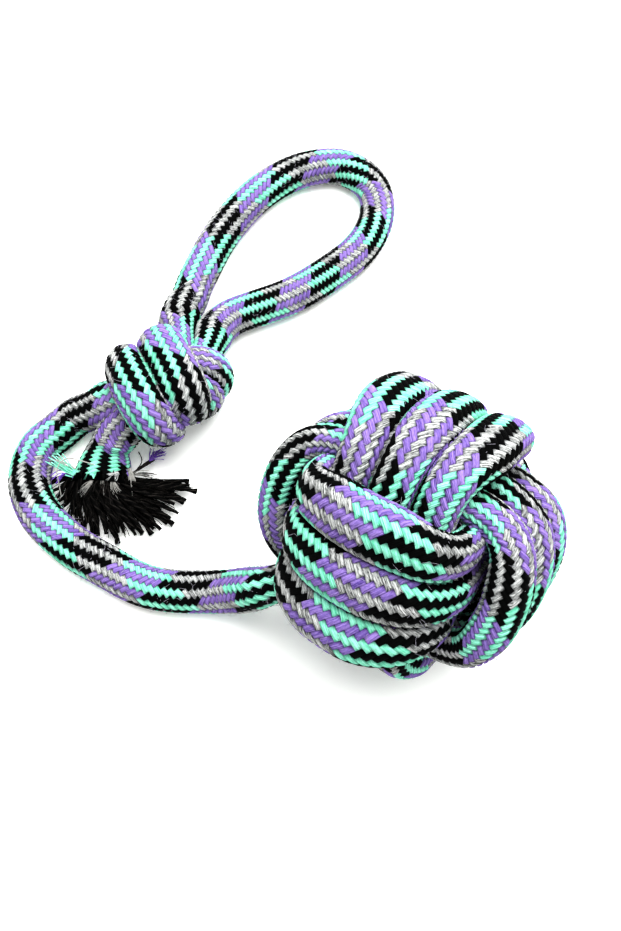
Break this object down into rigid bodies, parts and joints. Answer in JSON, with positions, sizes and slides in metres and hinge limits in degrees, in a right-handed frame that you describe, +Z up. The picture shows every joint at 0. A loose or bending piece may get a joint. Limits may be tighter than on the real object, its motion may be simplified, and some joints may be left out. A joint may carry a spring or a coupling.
{
  "type": "rope dog toy",
  "caption": "Braided rope dog toy: a ball of interlocked wraps on a lead, a knot tied in the doubled rope, a hand loop and a frayed cut end.",
  "frame": {"origin": "on the floor, under the middle of the whole toy's bounding box", "axes": "+Z up from the floor it lies on; +Y from the ball's side of the toy to the far end of the hand loop; +X towards the ball"},
  "size_m": [0.19, 0.2284, 0.0856],
  "materials": {
    "front_wraps": "braided, matt",
    "top_wraps": "braided, matt",
    "side_wraps": "braided, matt",
    "lead_rope": "braided, matt",
    "lead_strand": "braided, matt",
    "tail_strand": "braided, matt",
    "loop_rope": "braided, matt",
    "core_yarn": "braided, matt",
    "core": "hidden solid core"
  },
  "bodies": {
    "ball": {"core_ball": "core", "fist_front_wraps": "front_wraps", "fist_top_wraps": "top_wraps", "fist_side_wraps": "side_wraps"},
    "lead": {"lead_ball_half": "lead_rope", "lead_knot_half": "lead_rope"},
    "knot": {"knot_lead_strand": "lead_strand", "knot_tail_strand": "tail_strand"},
    "handle": {"handle_neck_left": "loop_rope", "handle_neck_right": "loop_rope", "handle_loop": "loop_rope"},
    "tail": {"tail_cover": "tail_strand", "tail_core_yarns": "core_yarn"}
  },
  "joints": [
    {"name": "ball_swing", "type": "hinge", "parent": "ball", "child": "lead", "pos_m": [-0.02268, -0.08493, 0.0062], "axis": [0, 0, 1], "range_deg": [-8, 50], "deforming": ["lead_ball_half"]},
    {"name": "knot_swing", "type": "hinge", "parent": "lead", "child": "knot", "pos_m": [-0.08248, -0.02613, 0.0062], "axis": [0, 0, 1], "range_deg": [0, 35], "deforming": ["lead_knot_half"]},
    {"name": "handle_lift", "type": "hinge", "parent": "knot", "child": "handle", "pos_m": [-0.02368, 0.03147, 0.0062], "axis": [0.7193, -0.6947, 0], "range_deg": [0, 60], "deforming": ["handle_neck_left", "handle_neck_right"]},
    {"name": "tail_swing", "type": "hinge", "parent": "knot", "child": "tail", "pos_m": [-0.05218, -0.03053, 0.009], "axis": [0, 0, 1], "range_deg": [0, 20], "deforming": ["tail_cover"]}
  ]
}
